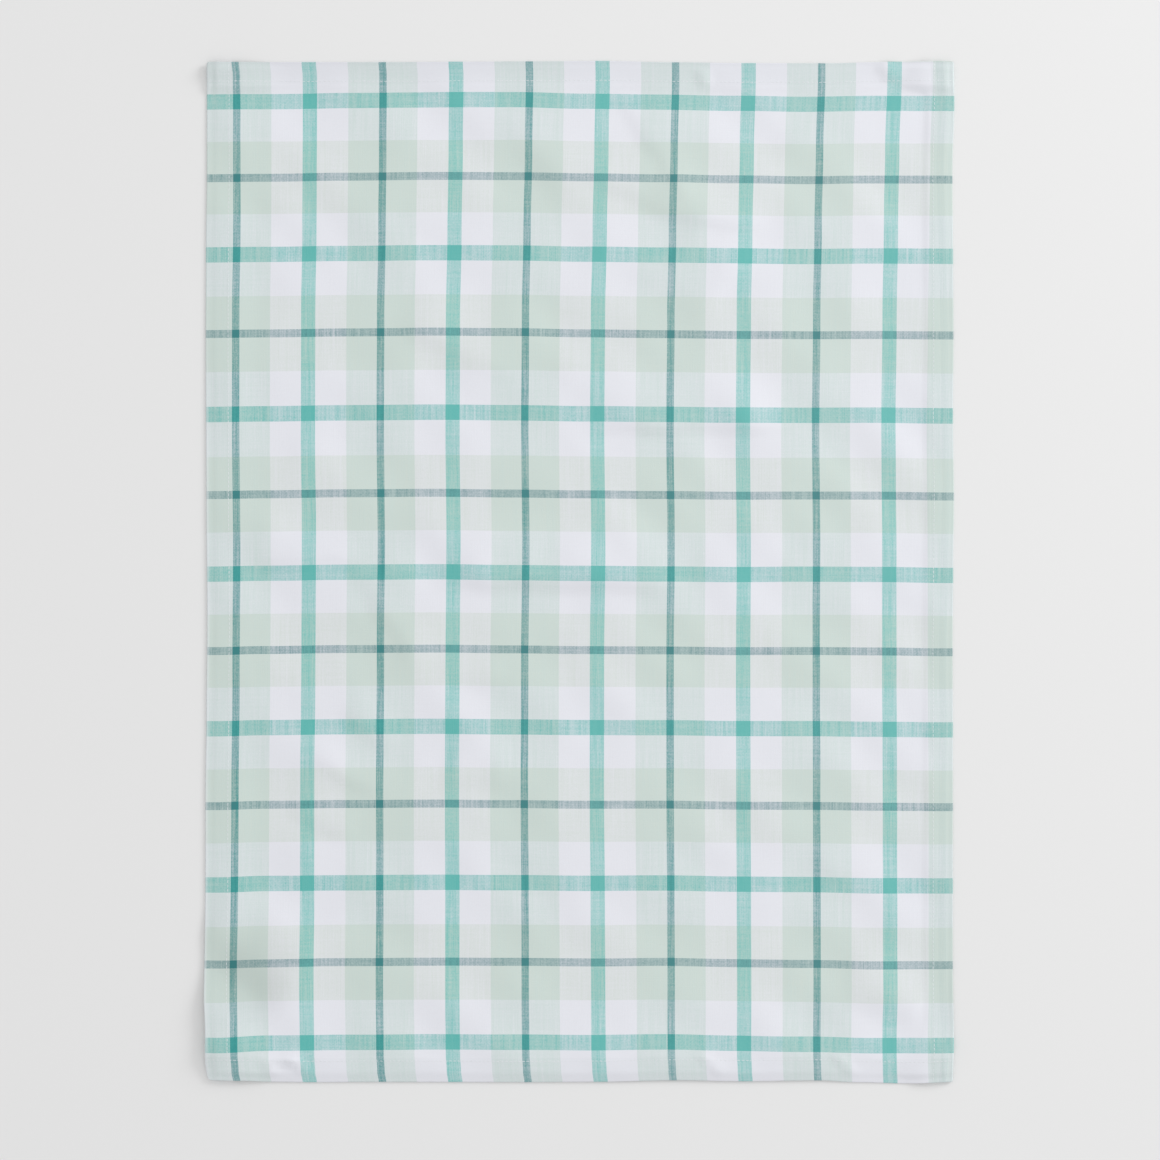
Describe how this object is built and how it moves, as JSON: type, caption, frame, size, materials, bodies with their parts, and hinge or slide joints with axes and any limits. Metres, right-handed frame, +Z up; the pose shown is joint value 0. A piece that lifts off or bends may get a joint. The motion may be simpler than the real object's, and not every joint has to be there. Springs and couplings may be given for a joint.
{
  "type": "tea towel",
  "caption": "Woven cotton tea towel in a window-pane check, hemmed on all sides, lying flat and face up with soft creases.",
  "frame": {"origin": "middle of the cloth's outline, on the surface that it lies on", "axes": "+X across the cloth to its right-hand side, +Y along its length to its top end, +Z up out of its face"},
  "size_m": [0.5064, 0.6904, 0.0061],
  "materials": {
    "cotton": "plain-woven cotton, matt"
  },
  "bodies": {
    "root": {"towel": "cotton"}
  },
  "joints": []
}
